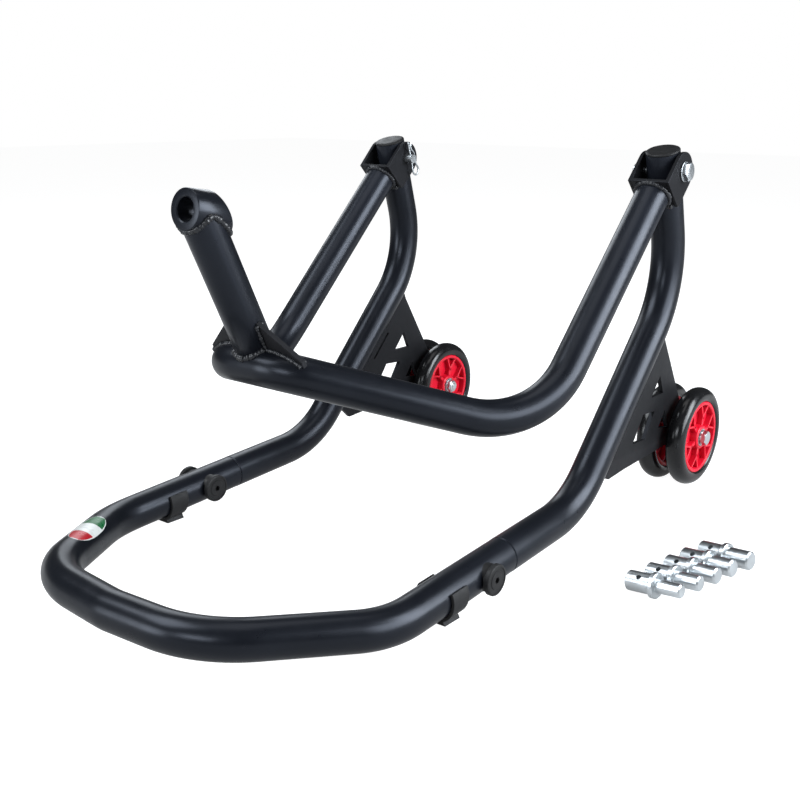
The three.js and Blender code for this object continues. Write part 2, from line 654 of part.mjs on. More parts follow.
// ---------------------------------------------------------------- loose spigots on the floor
for (const spec of SPIGOTS) {
  const r = spec.d / 2;
  const x1 = SPIGOT_BASE_L;
  const x2 = x1 + SPIGOT_FLANGE_T;
  const x3 = x2 + SPIGOT_TIP_L;
  const body = turnX([
    [0, 0], [SPIGOT_BASE_R, 0], [SPIGOT_BASE_R, x1],
    [SPIGOT_FLANGE_R - 0.8, x1], [SPIGOT_FLANGE_R, x1 + 0.8], [SPIGOT_FLANGE_R, x2 - 0.8],
    [SPIGOT_FLANGE_R - 0.8, x2], [r, x2], [r, x3 - 1.5], [r - 1.5, x3], [0, x3],
  ], 14);
  const hole = new THREE.CylinderGeometry(2.6, 2.6, 60, 8);
  hole.rotateX(Math.PI / 2 - 0.7);
  hole.translate(14.5, 0, 0);
  const g = cut(body, hole);
  const lift = Math.atan2(SPIGOT_FLANGE_R - SPIGOT_BASE_R, x1 + 0.8);
  g.rotateY(-lift);
  g.rotateZ(THREE.MathUtils.degToRad(spec.heading));
  g.computeBoundingBox();
  g.translate(spec.x, spec.y, -g.boundingBox.min.z);
  add(spec.name, g, ZINC());
}

export default root;
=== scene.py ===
"""Looks for the paddock stand: fine meshes of its tubes, wheels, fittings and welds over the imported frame,
their materials, and the studio and camera.

Sizes are in millimetres in the stand's own axes: X = 0 is its middle plane, Y = 0 is the plane of the cross bolts
and Z = 0 is the floor. at() turns such a place into the frame's metres.
"""

import math

import bmesh
import bpy
from mathutils import Matrix, Vector


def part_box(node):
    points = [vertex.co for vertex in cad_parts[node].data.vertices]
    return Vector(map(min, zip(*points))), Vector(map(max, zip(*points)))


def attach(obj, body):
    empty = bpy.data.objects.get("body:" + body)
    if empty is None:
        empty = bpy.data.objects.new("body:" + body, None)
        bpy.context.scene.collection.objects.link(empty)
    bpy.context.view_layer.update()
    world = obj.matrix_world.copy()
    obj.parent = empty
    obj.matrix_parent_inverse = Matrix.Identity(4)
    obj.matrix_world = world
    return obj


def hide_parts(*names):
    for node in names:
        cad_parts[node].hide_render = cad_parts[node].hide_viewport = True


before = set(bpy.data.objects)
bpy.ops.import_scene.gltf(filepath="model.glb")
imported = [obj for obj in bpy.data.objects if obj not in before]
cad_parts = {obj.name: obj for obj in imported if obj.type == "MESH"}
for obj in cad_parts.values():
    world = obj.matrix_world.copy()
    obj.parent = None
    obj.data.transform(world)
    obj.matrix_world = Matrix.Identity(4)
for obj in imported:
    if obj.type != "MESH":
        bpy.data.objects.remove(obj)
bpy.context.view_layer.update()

# ------------------------------------------------------------------ places and sizes
MM = 0.001
loop_lo, loop_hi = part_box("foot_loop")
cap_lo, cap_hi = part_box("screw_cap_right_outer")
MID_X = (loop_lo[0] + loop_hi[0]) / 2
BOLT_Y = (cap_lo[1] + cap_hi[1]) / 2


def at(x, y, z):
    """A place in the stand's millimetres, in the frame's metres."""
    return Vector((MID_X + x * MM, BOLT_Y + y * MM, z * MM))


def stand_centre(node):
    """Middle of a CAD node in the stand's own millimetres."""
    lo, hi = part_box(node)
    mid = [(a + b) / 2 for a, b in zip(lo, hi)]
    return Vector(((mid[0] - MID_X) / MM, (mid[1] - BOLT_Y) / MM, mid[2] / MM))


# tubes of the lower frame: corner points of the bent centre lines
TUBE_R = 19.0
TUBE_WALL = 2.0
HALF_SPAN = (stand_centre("side_rail_right").x - stand_centre("side_rail_left").x) / 2
LOOP_NOSE = Vector((0, -278, 34))
LOOP_CORNER = Vector((106, -270, 34))
LOOP_KINK = Vector((HALF_SPAN, -130, 20.5))
RAIL_BEND = Vector((HALF_SPAN, 186, 38.5))
RAIL_ELBOW = Vector((HALF_SPAN, 396, 259))
KINK_BEND_R, CORNER_BEND_R, NOSE_BEND_R = 100, 102, 70
RAIL_BEND_R, ELBOW_BEND_R = 114, 119
MAST_DIR = Vector((0, -0.2842, 0.9588)).normalized()
MAST_BACK = Vector((0, MAST_DIR.z, -MAST_DIR.y))
MAST_ABOVE_PIN = 21.5
JOINT_Y = 46.0

# lift frame: arms, clevis brackets, upright and head bush
PIN = stand_centre("hinge_pin_right")
ARM_DIR = Vector((0, -0.7097, -0.7045)).normalized()
ARM_UP = Vector((0, ARM_DIR.z, -ARM_DIR.y))
ARM_BEND = Vector((HALF_SPAN, 105.5, 144.8))
ARM_BEND_R = 113
LIFT_NOSE = Vector((38.7, -94.9, 221.3))
LIFT_NOSE_BEND_R = 45
WEB_OUT, WEB_T = 35.0, 4.0
EAR_GAP, EAR_T, EAR_R = 40.0, 4.5, 21.5
UPRIGHT_R = 19.0
UPRIGHT_FOOT = Vector((0, -87, 224.3))
UPRIGHT_TOP = Vector((0, -159.3, 374.6))
BUSH = Vector((0, -151.8, 373.1))
BUSH_TILT = math.radians(8)
BUSH_DIR = Vector((0, -math.cos(BUSH_TILT), math.sin(BUSH_TILT)))
BUSH_UP = Vector((0, BUSH_DIR.z, -BUSH_DIR.y))
BUSH_R, BUSH_BORE_R = 19.0, 11.0
BUSH_FRONT, BUSH_REAR = 21.0, -16.0
BUSH_LEAN = 12.0 / 19.0     # slope of the slanted rear end

# wheels and axles
WHEEL = stand_centre("tyre_right_outer")
WHEEL_R = 62.0
WHEEL_OFFSET = WHEEL.x - HALF_SPAN
TYRE_HALF_W = 12.0
WHEEL_GAP = 0.3
AXLE_HEX = 16.4
SIDES = (("left", -1), ("right", 1))


def rail_z(y):
    """Height of the low run's centre line, from loop kink to rail bend."""
    slope = (RAIL_BEND.z - LOOP_KINK.z) / (RAIL_BEND.y - LOOP_KINK.y)
    return LOOP_KINK.z + slope * (y - LOOP_KINK.y)


def mirror(p, s):
    """p itself on the right side (s = 1) and its mirror image on the left (s = -1)."""
    return Vector((p.x * s, p.y, p.z))


# ------------------------------------------------------------------ materials
NOISE_ROUGHNESS = 0.55
NOISE_LOW, NOISE_HIGH = 0.3, 0.7                # the range that most of the noise falls in
MIX_COLOR_A, MIX_COLOR_B, MIX_COLOR_OUT = 6, 7, 2   # colour sockets of the Mix node
WORN_FROM, WORN_TO, WORN_MOST = 0.53, 0.62, 0.5     # pointiness of worn edges, and how bare they get


class Nodes:
    """A node material with one Principled shader and a few helpers."""

    def __init__(self, name, color, roughness, metallic=0.0, **sockets):
        self.mat = bpy.data.materials.new(name)
        self.mat.use_nodes = True
        self.tree = self.mat.node_tree
        self.tree.nodes.clear()
        self.out = self.new("ShaderNodeOutputMaterial")
        self.shader = self.new("ShaderNodeBsdfPrincipled")
        self.link(self.shader.outputs["BSDF"], self.out.inputs["Surface"])
        self.shader.inputs["Base Color"].default_value = (*color, 1)
        self.shader.inputs["Roughness"].default_value = roughness
        self.shader.inputs["Metallic"].default_value = metallic
        for key, value in sockets.items():
            self.shader.inputs[key.replace("_", " ")].default_value = value
        self.coords = self.new("ShaderNodeTexCoord").outputs["Object"]
        self.height = None

    def new(self, kind):
        return self.tree.nodes.new(kind)

    def link(self, a, b):
        self.tree.links.new(a, b)

    def stretched(self, scale):
        node = self.new("ShaderNodeMapping")
        node.inputs["Scale"].default_value = scale
        self.link(self.coords, node.inputs["Vector"])
        return node.outputs["Vector"]

    def noise(self, scale, detail, vector=None):
        node = self.new("ShaderNodeTexNoise")
        node.inputs["Scale"].default_value = scale
        node.inputs["Detail"].default_value = detail
        node.inputs["Roughness"].default_value = NOISE_ROUGHNESS
        self.link(vector or self.coords, node.inputs["Vector"])
        return node.outputs["Fac"]

    def remap(self, value, low, high, to_low, to_high):
        node = self.new("ShaderNodeMapRange")
        node.inputs["From Min"].default_value = low
        node.inputs["From Max"].default_value = high
        node.inputs["To Min"].default_value = to_low
        node.inputs["To Max"].default_value = to_high
        self.link(value, node.inputs["Value"])
        return node.outputs["Result"]

    def mix(self, factor, a, b):
        node = self.new("ShaderNodeMix")
        node.data_type = "RGBA"
        self.link(factor, node.inputs["Factor"])
        for value, socket in ((a, node.inputs[MIX_COLOR_A]), (b, node.inputs[MIX_COLOR_B])):
            if isinstance(value, tuple):
                socket.default_value = (*value, 1)
            else:
                self.link(value, socket)
        return node.outputs[MIX_COLOR_OUT]

    def cloudy(self, scale, detail, low=0.0, high=1.0):
        """Noise with its usual range spread from low to high."""
        return self.remap(self.noise(scale, detail), NOISE_LOW, NOISE_HIGH, low, high)

    def worn_edges(self):
        """WORN_MOST on sharp outer edges, 0 elsewhere."""
        node = self.new("ShaderNodeNewGeometry")
        return self.remap(node.outputs["Pointiness"], WORN_FROM, WORN_TO, 0.0, WORN_MOST)

    def rough(self, value):
        self.link(value, self.shader.inputs["Roughness"])

    def color(self, value):
        self.link(value, self.shader.inputs["Base Color"])

    def bump(self, value, depth_mm):
        """Adds a bump on top of the ones already there."""
        node = self.new("ShaderNodeBump")
        node.inputs["Distance"].default_value = depth_mm * MM
        self.link(value, node.inputs["Height"])
        if self.height is not None:
            self.link(self.height, node.inputs["Normal"])
        self.height = node.outputs["Normal"]
        self.link(self.height, self.shader.inputs["Normal"])


COAT_BLUE_LIGHT_TINT = (0.80, 0.86, 1.0, 1)      # painted blue light: tints the powder coat's reflections the way bluish lamps would
RUBBED_LIGHTER = 2.6
ZINC_DULL = 0.86


def powder_coat(name, base, lighter, rough_range, peel, gloss):
    """Powder paint: orange peel, slight handling marks and paler rubbed edges."""
    # the Specular Tint paints the blue of the light into the coat's reflections
    m = Nodes(name, base, 0.4, Specular_IOR_Level=gloss, Specular_Tint=COAT_BLUE_LIGHT_TINT)
    tone = m.mix(m.cloudy(14, 4), base, lighter)
    m.color(m.mix(m.worn_edges(), tone, tuple(RUBBED_LIGHTER * c for c in lighter)))
    m.rough(m.cloudy(55, 5, *rough_range))
    m.bump(m.noise(620, 2), peel)
    m.bump(m.noise(70, 2), peel * 1.6)
    return m.mat


def weld_paint(name):
    """Painted weld metal, glossier than the tube and lumpy."""
    m = Nodes(name, (0.008, 0.0085, 0.010), 0.3, Specular_IOR_Level=0.35)
    m.rough(m.cloudy(240, 3, 0.2, 0.42))
    m.color(m.mix(m.noise(90, 3), (0.006, 0.0065, 0.008), (0.013, 0.014, 0.017)))
    m.bump(m.noise(420, 2), 0.25)
    return m.mat


def moulded(name, base, lighter, rough_range, grain, **sockets):
    """Moulded plastic or rubber: fine skin grain and uneven sheen."""
    m = Nodes(name, base, 0.5, **sockets)
    m.color(m.mix(m.cloudy(40, 4), base, lighter))
    m.rough(m.cloudy(95, 4, *rough_range))
    m.bump(m.noise(900, 2), grain)
    return m.mat


def zinc_plate(name, tint, rough_range):
    """Bright zinc with fine turning marks round X and faintly cloudy passivation."""
    m = Nodes(name, tint, 0.25, 1.0)
    cloud = m.remap(m.noise(45, 3), 0.32, 0.68, 0.0, 1.0)
    m.color(m.mix(cloud, tuple(ZINC_DULL * c for c in tint), tint))
    m.rough(m.cloudy(90, 3, *rough_range))
    m.bump(m.noise(1, 2, vector=m.stretched((1500, 40, 40))), 0.004)
    return m.mat


TUBE_PAINT = powder_coat("tube_powder_coat", (0.0034, 0.0040, 0.0056), (0.0050, 0.0058, 0.0080),
                         (0.27, 0.33), 0.006, 0.22)
PLATE_PAINT = powder_coat("plate_powder_coat", (0.0045, 0.0045, 0.0050), (0.0070, 0.0070, 0.0076),
                          (0.38, 0.48), 0.030, 0.12)
WELD_PAINT = weld_paint("weld_paint")
CAP_PLASTIC = moulded("black_cap_plastic", (0.0055, 0.0055, 0.006), (0.010, 0.010, 0.0105),
                      (0.42, 0.58), 0.04, Specular_IOR_Level=0.22)
PAD_RUBBER = moulded("pad_rubber", (0.006, 0.006, 0.0065), (0.011, 0.011, 0.0115),
                     (0.5, 0.66), 0.05, Specular_IOR_Level=0.22)
TYRE_RUBBER = moulded("tyre_rubber", (0.004, 0.004, 0.0045), (0.007, 0.007, 0.0075),
                      (0.16, 0.28), 0.01, Specular_IOR_Level=0.3)
HUB_PLASTIC = moulded("red_hub_plastic", (0.46, 0.003, 0.016), (0.53, 0.005, 0.022),
                      (0.34, 0.46), 0.02, Specular_IOR_Level=0.25)
ZINC = zinc_plate("zinc_plate", (0.54, 0.57, 0.59), (0.28, 0.38))
SEAL = moulded("bearing_seal", (0.02, 0.02, 0.021), (0.03, 0.03, 0.031), (0.4, 0.55), 0.02)


# ------------------------------------------------------------------ mesh building
HEX_FLAT, HEX_TOP, HEX_SLOPE = 0.98, 0.96, 0.577    # how a bolt head's corners are turned off
BEAD_STEPS = 4                                      # stations to each ripple of a weld bead


def angles(count):
    """Evenly spaced angles of a full turn."""
    return [2 * math.pi * k / count for k in range(count)]


class Form:
    """Vertices (stand millimetres) and faces of one piece, from swept, turned and extruded shapes."""

    def __init__(self):
        self.verts = []
        self.faces = []
        self.slots = []
        self.slot = 0

    def rings(self, rings, closed=False):
        """Skins a list of vertex rings; a ring of one point closes the end."""
        starts = []
        for ring in rings:
            starts.append(len(self.verts))
            self.verts.extend(Vector(p) for p in ring)
        pairs = list(zip(range(len(rings) - 1), range(1, len(rings))))
        if closed:
            pairs.append((len(rings) - 1, 0))
        for i, j in pairs:
            n = max(len(rings[i]), len(rings[j]))
            for k in range(n):
                a = starts[i] + k % len(rings[i])
                b = starts[i] + (k + 1) % len(rings[i])
                c = starts[j] + (k + 1) % len(rings[j])
                d = starts[j] + k % len(rings[j])
                face = list(dict.fromkeys((a, b, c, d)))
                if len(face) > 2:
                    self.faces.append(face)
                    self.slots.append(self.slot)

    def turn(self, profile, centre, axis, sides=48, closed=False):
        """Turns (radius, along) points about an axis."""
        e1, e2 = across(axis)
        d = Vector(axis).normalized()
        rings = []
        for r, z in profile:
            middle = Vector(centre) + d * z
            rings.append(circle(middle, e1, e2, r, sides) if r > 0 else [middle])
        self.rings(rings, closed)

    def pipe(self, line, radii, sides=40, wall=None, closed=False):
        """Sweeps a circle along a line; with a wall thickness it is a hollow tube."""
        frames = transported(line, closed)
        outer = [circle(p, e1, e2, r, sides) for (p, e1, e2), r in zip(frames, radii)]
        if wall is None:
            if not closed:
                outer = [[line[0]]] + outer + [[line[-1]]]
            self.rings(outer, closed)
            return
        inner = [circle(p, e1, e2, r - wall, sides) for (p, e1, e2), r in zip(frames, radii)]
        self.rings(outer + inner[::-1], closed=True)

    def prism(self, outline, low, high, place):
        """Extrudes a flat outline from low to high; place(u, v, w) gives the point."""
        start = len(self.verts)
        n = len(outline)
        for w in (low, high):
            self.verts.extend(place(u, v, w) for u, v in outline)
        self.faces.append([start + k for k in range(n)][::-1])
        self.faces.append([start + n + k for k in range(n)])
        self.slots += [self.slot, self.slot]
        for k in range(n):
            j = (k + 1) % n
            self.faces.append([start + k, start + j, start + n + j, start + n + k])
            self.slots.append(self.slot)

    def hexagon(self, across_flats, low, high, centre, axis, twist):
        """Bolt head or nut with its outer corners turned off."""
        e1, e2 = across(axis)
        d = Vector(axis).normalized()
        centre = Vector(centre)
        flat = across_flats / 2
        wall_low, wall_high, brim = [], [], []
        for a in angles(48):
            r = hex_radius(flat, a)
            out = e1 * math.cos(a + twist) + e2 * math.sin(a + twist)
            drop = max(0.0, r - flat * HEX_FLAT) * HEX_SLOPE
            wall_low.append(centre + out * r + d * low)
            wall_high.append(centre + out * r + d * (high - drop))
            brim.append(centre + out * flat * HEX_TOP + d * high)
        self.rings([[centre + d * low], wall_low, wall_high, brim, [centre + d * high]])

    def bead(self, line, radius, closed=False, pitch=3.1):
        """A weld bead: overlapping ripples along a line, a little uneven."""
        dense = resample(line, pitch / BEAD_STEPS, closed)
        radii = []
        for k in range(len(dense)):
            ripple = abs(math.sin(math.pi * k / BEAD_STEPS))
            wander = 0.12 * math.sin(k * 0.37) + 0.08 * math.sin(k * 0.91 + 1.3)
            radii.append(radius * (0.84 + 0.2 * ripple + wander))
        if not closed:
            radii[0] *= 0.55
            radii[-1] *= 0.55
        self.pipe(dense, radii, sides=10, closed=closed)

    def piece(self, name, materials, body, replaces=(), bevel=0.0, sharp=35):
        """Makes the object, on its body; edges sharper than the given angle stay crisp."""
        if not isinstance(materials, (list, tuple)):
            materials = [materials]
        mesh = bpy.data.meshes.new(name)
        mesh.from_pydata([at(*v) for v in self.verts], [], self.faces)
        for material in materials:
            mesh.materials.append(material)
        mesh.polygons.foreach_set("material_index", self.slots)
        fix_normals(mesh)
        mesh.shade_smooth()
        mesh.set_sharp_from_angle(angle=math.radians(sharp))
        obj = bpy.data.objects.new(name, mesh)
        bpy.context.scene.collection.objects.link(obj)
        if bevel:
            add_bevel(obj, bevel)
        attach(obj, body)
        if replaces:
            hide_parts(*replaces)
        return obj


def fix_normals(mesh):
    """Joins doubled vertices and turns every face outward."""
    bm = bmesh.new()
    bm.from_mesh(mesh)
    bmesh.ops.remove_doubles(bm, verts=bm.verts, dist=1e-6)
    bmesh.ops.recalc_face_normals(bm, faces=bm.faces)
    bm.to_mesh(mesh)
    bm.free()


def add_bevel(obj, width_mm, angle=35):
    mod = obj.modifiers.new("edge", "BEVEL")
    mod.width = width_mm * MM
    mod.segments = 2
    mod.limit_method = "ANGLE"
    mod.angle_limit = math.radians(angle)
    mod.harden_normals = True


def across(axis):
    """Two unit vectors square to the axis and to each other."""
    d = Vector(axis).normalized()
    helper = Vector((0, 0, 1)) if abs(d.z) < 0.9 else Vector((0, 1, 0))
    e1 = d.cross(helper).normalized()
    return e1, d.cross(e1).normalized()


def circle(centre, e1, e2, radius, sides):
    return [Vector(centre) + (e1 * math.cos(a) + e2 * math.sin(a)) * radius for a in angles(sides)]


def hex_radius(flat, a):
    """Distance from a hexagon's middle to its side at angle a."""
    return flat / math.cos(a % (math.pi / 3) - math.pi / 6)


def transported(line, closed=False):
    """A frame at each station, turned as little as possible from one to the next."""
    n = len(line)
    tangents = []
    for i in range(n):
        a = line[(i - 1) % n] if closed or i > 0 else line[i]
        b = line[(i + 1) % n] if closed or i < n - 1 else line[i]
        tangents.append((b - a).normalized())
    e1, _ = across(tangents[0])
    out = []
    for i in range(n):
        if i:
            turn = tangents[i - 1].rotation_difference(tangents[i])
            e1 = (turn @ e1).normalized()
        e1 = (e1 - tangents[i] * e1.dot(tangents[i])).normalized()
        out.append((line[i], e1, tangents[i].cross(e1)))
    return out


def resample(line, step, closed):
    """Evenly spaced points about a step apart."""
    points = list(line) + ([line[0]] if closed else [])
    lengths = [0.0]
    for a, b in zip(points, points[1:]):
        lengths.append(lengths[-1] + (b - a).length)
    count = max(4, round(lengths[-1] / step))
    out = []
    i = 0
    for k in range(count if closed else count + 1):
        s = lengths[-1] * k / count
        while i < len(points) - 2 and lengths[i + 1] < s:
            i += 1
        span = lengths[i + 1] - lengths[i]
        out.append(points[i].lerp(points[i + 1], (s - lengths[i]) / span if span else 0))
    return out


def bend_line(corners, radii, step_deg=3.0):
    """Straight runs joined by arcs."""
    out = [corners[0].copy()]
    for i in range(1, len(corners) - 1):
        a = (corners[i - 1] - corners[i]).normalized()
        b = (corners[i + 1] - corners[i]).normalized()
        turn = math.pi - a.angle(b)
        r = radii[i - 1]
        centre = corners[i] + (a + b).normalized() * (r / math.cos(turn / 2))
        start = corners[i] + a * (r * math.tan(turn / 2))
        e0 = (start - centre) / r
        steps = max(2, round(math.degrees(turn) / step_deg))
        for k in range(steps + 1):
            t = turn * k / steps
            out.append(centre + e0 * (r * math.cos(t)) - a * (r * math.sin(t)))
    out.append(corners[-1].copy())
    return out


def soft_ends(line, radius, chamfer=0.7, last=True):
    """Chamfers a tube's first end, and its last: the line and its radii."""
    line = [p.copy() for p in line]
    radii = [radius - chamfer] + [radius] * len(line)
    line.insert(1, line[0] + (line[1] - line[0]).normalized() * chamfer)
    if last:
        line.insert(-1, line[-1] + (line[-2] - line[-1]).normalized() * chamfer)
        radii.append(radius - chamfer)
    return line, radii


def keep(node, material, bevel=0.0):
    """A CAD node that stays, with its own finish and softened edges."""
    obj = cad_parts[node]
    obj.data.materials.clear()
    obj.data.materials.append(material)
    if bevel:
        add_bevel(obj, bevel, 30)


# ------------------------------------------------------------------ foot loop and side rails
LOWER = "lower_frame"
LIFT = "lift_frame"
RAIL_GROWTH = 0.15      # the rail's skin stands proud of its solid and of the loop's end
RAIL_END_GAP = 0.3
PLUG_PROFILE = [(0, -8), (16.2, -8), (16.2, -0.2), (18.6, 0.0), (19.1, 0.5), (19.2, 1.4), (18.7, 2.3),
                (17.6, 2.9), (14.5, 3.1), (0, 3.0)]

joint = Vector((HALF_SPAN, JOINT_Y, rail_z(JOINT_Y)))
loop_corners = [mirror(joint, -1), mirror(LOOP_KINK, -1), mirror(LOOP_CORNER, -1), LOOP_NOSE,
                LOOP_CORNER, LOOP_KINK, joint]
loop_line = bend_line(loop_corners, [KINK_BEND_R, CORNER_BEND_R, NOSE_BEND_R, CORNER_BEND_R, KINK_BEND_R])
form = Form()
line, radii = soft_ends(loop_line, TUBE_R)
form.pipe(line, radii, wall=TUBE_WALL, sides=48)
form.piece("foot_loop_tube", TUBE_PAINT, LOWER, ["foot_loop"])

for side, s in SIDES:
    top = Vector((HALF_SPAN * s, PIN.y, PIN.z)) + MAST_DIR * MAST_ABOVE_PIN
    start = mirror(joint, s) + Vector((0, RAIL_END_GAP, 0))
    rail = bend_line([start, mirror(RAIL_BEND, s), mirror(RAIL_ELBOW, s), top], [RAIL_BEND_R, ELBOW_BEND_R])
    line, radii = soft_ends(rail, TUBE_R, last=False)
    form = Form()
    form.pipe(line, [r + RAIL_GROWTH for r in radii], wall=TUBE_WALL, sides=48)
    form.piece(f"side_rail_{side}_tube", TUBE_PAINT, LOWER, [f"side_rail_{side}"])

    # plug with a rounded brim in the open top
    form = Form()
    form.turn(PLUG_PROFILE, top, MAST_DIR, sides=64)
    form.piece(f"rail_cap_{side}_plug", CAP_PLASTIC, LOWER, [f"rail_cap_{side}"])

    keep(f"joint_sleeve_{side}", PLATE_PAINT)
    keep(f"cross_bolt_{side}", ZINC)

# ------------------------------------------------------------------ screw caps on the cross bolts
CAP_SIDES = 64
CAP_R = 15.8
CAP_FACE = 26.7
CAP_NECK_R = 14.6
# (radius, distance from the rail's middle plane) of the neck, brim, face and its ring groove
CAP_STEPS = [(13.2, 18.6), (12.6, 20.6), (CAP_R - 0.6, 20.9), (CAP_R, 21.5), (CAP_R, CAP_FACE - 1.3),
             (CAP_R - 0.5, CAP_FACE - 0.5), (CAP_R - 1.3, CAP_FACE - 0.1), (CAP_R - 2.4, CAP_FACE),
             (CAP_R - 2.8, CAP_FACE - 0.7), (9.6, CAP_FACE - 0.7), (9.2, CAP_FACE - 0.1),
             (4.2, CAP_FACE - 0.1)]
SOCKET_FLAT, SOCKET_DEPTH = 3.0, 4.5
INSERT_R = 6.0
INSERT_STEPS = [(INSERT_R, 20.6), (5.5, 21.2), (3.4, 21.3), (3.1, 20.8)]
INSERT_MIDDLE = 20.6


def saddle_ring(radius, tube_radius, x, y, z, out):
    """A ring round the cross bolt's axis that lies on the rail's surface."""
    ring = []
    for a in angles(CAP_SIDES):
        v = radius * math.sin(a)
        reach = math.sqrt(tube_radius ** 2 - v ** 2)
        ring.append(Vector((x + out * reach, y + radius * math.cos(a), z + v)))
    return ring


def flat_ring(radius, offset, x, y, z, out):
    """A ring round the cross bolt's axis at one distance from the rail's middle plane."""
    return [Vector((x + out * offset, y + radius * math.cos(a), z + radius * math.sin(a)))
            for a in angles(CAP_SIDES)]


for node in ("screw_cap_left_outer", "screw_cap_left_inner", "screw_cap_right_outer"):
    s = -1 if "left" in node else 1
    out = s if node.endswith("outer") else -s
    x, z = HALF_SPAN * s, rail_z(0)
    place = (x, 0.0, z, out)
    form = Form()
    form.rings([saddle_ring(CAP_NECK_R, TUBE_R - 0.5, *place)]
               + [flat_ring(radius, offset, *place) for radius, offset in CAP_STEPS])
    socket_x = x + out * CAP_STEPS[-1][1]
    socket_rim = [Vector((socket_x, r * math.cos(a), z + r * math.sin(a)))
                  for a, r in ((a, hex_radius(SOCKET_FLAT, a)) for a in angles(CAP_SIDES))]
    socket_floor = [p - Vector((out * SOCKET_DEPTH, 0, 0)) for p in socket_rim]
    form.rings([flat_ring(*CAP_STEPS[-1], *place), socket_rim, socket_floor,
                [Vector((socket_x - out * SOCKET_DEPTH, 0, z))]])
    form.piece(f"{node}_moulding", CAP_PLASTIC, LOWER, [node], sharp=28)

form = Form()
x, z = HALF_SPAN, rail_z(0)
place = (x, 0.0, z, -1)
form.rings([saddle_ring(INSERT_R, TUBE_R - 0.6, *place)]
           + [flat_ring(radius, offset, *place) for radius, offset in INSERT_STEPS]
           + [[Vector((x - INSERT_MIDDLE, 0, z))]])
form.piece("cross_bolt_insert_end", ZINC, LOWER, ["cross_bolt_insert_right"])

# ------------------------------------------------------------------ foot pads
PAD_FRONT, PAD_BACK = -64.0, -40.0
PAD_WRAP = math.radians(28)         # how far past the rail's widest line the saddle reaches up
PAD_INNER_R, PAD_OUTER_R = TUBE_R + 0.15, TUBE_R + 3.5
PAD_CHEEK = 0.36 * math.pi          # where the round cheeks meet the straight foot
PAD_FOOT_HALF_W = 12.5


def arc_points(radius, first, turn, steps):
    return [(radius * math.cos(a), radius * math.sin(a))
            for a in (first + turn * k / steps for k in range(steps + 1))]


PAD_OUTLINE = arc_points(PAD_INNER_R, PAD_WRAP, -(math.pi + 2 * PAD_WRAP), 40)
PAD_OUTLINE += arc_points(PAD_OUTER_R, math.pi - PAD_WRAP, PAD_CHEEK + PAD_WRAP, 14)
PAD_OUTLINE += [(-PAD_FOOT_HALF_W, None), (PAD_FOOT_HALF_W, None)]
PAD_OUTLINE += arc_points(PAD_OUTER_R, -PAD_CHEEK, PAD_CHEEK + PAD_WRAP, 14)

for side, s in SIDES:
    def pad_point(u, v, w):
        """v is a height over the rail's centre line, or None on the floor."""
        return Vector((HALF_SPAN * s + u, w, 0.0 if v is None else max(0.0, rail_z(w) + v)))

    form = Form()
    form.prism(PAD_OUTLINE, PAD_FRONT, PAD_BACK, pad_point)
    form.piece(f"foot_pad_{side}_saddle", PAD_RUBBER, LOWER, [f"foot_pad_{side}"], bevel=0.7)

# ------------------------------------------------------------------ wheel plates and their welds
run = (RAIL_ELBOW - RAIL_BEND).normalized()
PLATE_WELD_R = 2.4
PLATE_WELD_SIDE = 3.4
PLATE_WELDS = ((66, 104), (134, 168), (198, 228))       # stretches along the rail, from its bend


def beside_rail(s, along, dx):
    """A place on the back of the rail's rising run."""
    base = mirror(RAIL_BEND, s) + run * along
    off = TUBE_R + 0.4
    return base + Vector((dx, run.z * off, -run.y * off))


form = Form()
for side, s in SIDES:
    keep(f"wheel_plate_{side}", PLATE_PAINT, bevel=0.5)
    for dx in (-PLATE_WELD_SIDE, PLATE_WELD_SIDE):
        for a, b in PLATE_WELDS:
            form.bead([beside_rail(s, a, dx), beside_rail(s, b, dx)], PLATE_WELD_R)
form.piece("plate_weld_beads", WELD_PAINT, LOWER, sharp=60)

# ------------------------------------------------------------------ wheels
X = Vector((1, 0, 0))
RIM_R = 45.2
CROWN_R = 50.6
TYRE_EDGE = [(RIM_R + 0.1, 9.6), (46.4, 10.9), (48.4, 11.8)]
TYRE_PROFILE = ([(r, -w) for r, w in TYRE_EDGE]
                + [(CROWN_R + (WHEEL_R - CROWN_R) * math.cos(a) ** 0.85, TYRE_HALF_W * math.sin(a))
                   for a in (math.radians(degrees) for degrees in range(-90, 91, 9))]
                + TYRE_EDGE[::-1])
RIM_PROFILE = [(RIM_R, -10.2), (RIM_R, 10.2), (44.2, 10.6), (41.6, 10.6), (40.6, 9.8), (39.6, 3.0),
               (39.6, -3.0), (40.6, -9.8), (41.6, -10.6), (44.2, -10.6)]
WEB_PROFILE = [(13, -2.4), (40.2, -2.4), (40.2, 2.4), (13, 2.4)]
CORE_PROFILE = [(11.1, -12), (13.6, -12), (15.0, -10.8), (16.0, -2), (16.0, 2), (15.0, 10.8), (13.6, 12),
                (11.1, 12)]
RIBS = 6
RIB_TURN = 0.3
RIB_FACES = ((1.5, 9.6), (-9.6, -1.5))
RIB_STEM = [(13, -2.6), (25, -1.7), (25, 1.7), (13, 2.6)]
RIB_TIP, RIB_SPREAD, RIB_HALF_W = 40.6, 10.5, 1.6
RACE_OUTER = [(9.2, 11.6), (9.4, 12.0), (10.8, 12.0), (11.0, 11.6), (11.0, 5.2), (9.2, 5.2)]
RACE_INNER = [(5.4, 5.2), (5.4, 11.7), (5.7, 12.0), (6.9, 12.0), (7.1, 11.7), (7.1, 5.2)]
SEAL_PROFILE = [(7.0, 11.5), (9.3, 11.5), (9.3, 10.5), (7.0, 10.5)]


def rib(form, centre, points, angle):
    """A rib on both faces of the hub's web; its outline is given along and across angle."""
    c, q = math.cos(angle), math.sin(angle)
    for low, high in RIB_FACES:
        form.prism(points, low, high, lambda u, v, w: centre + Vector((w, u * c - v * q, u * q + v * c)))


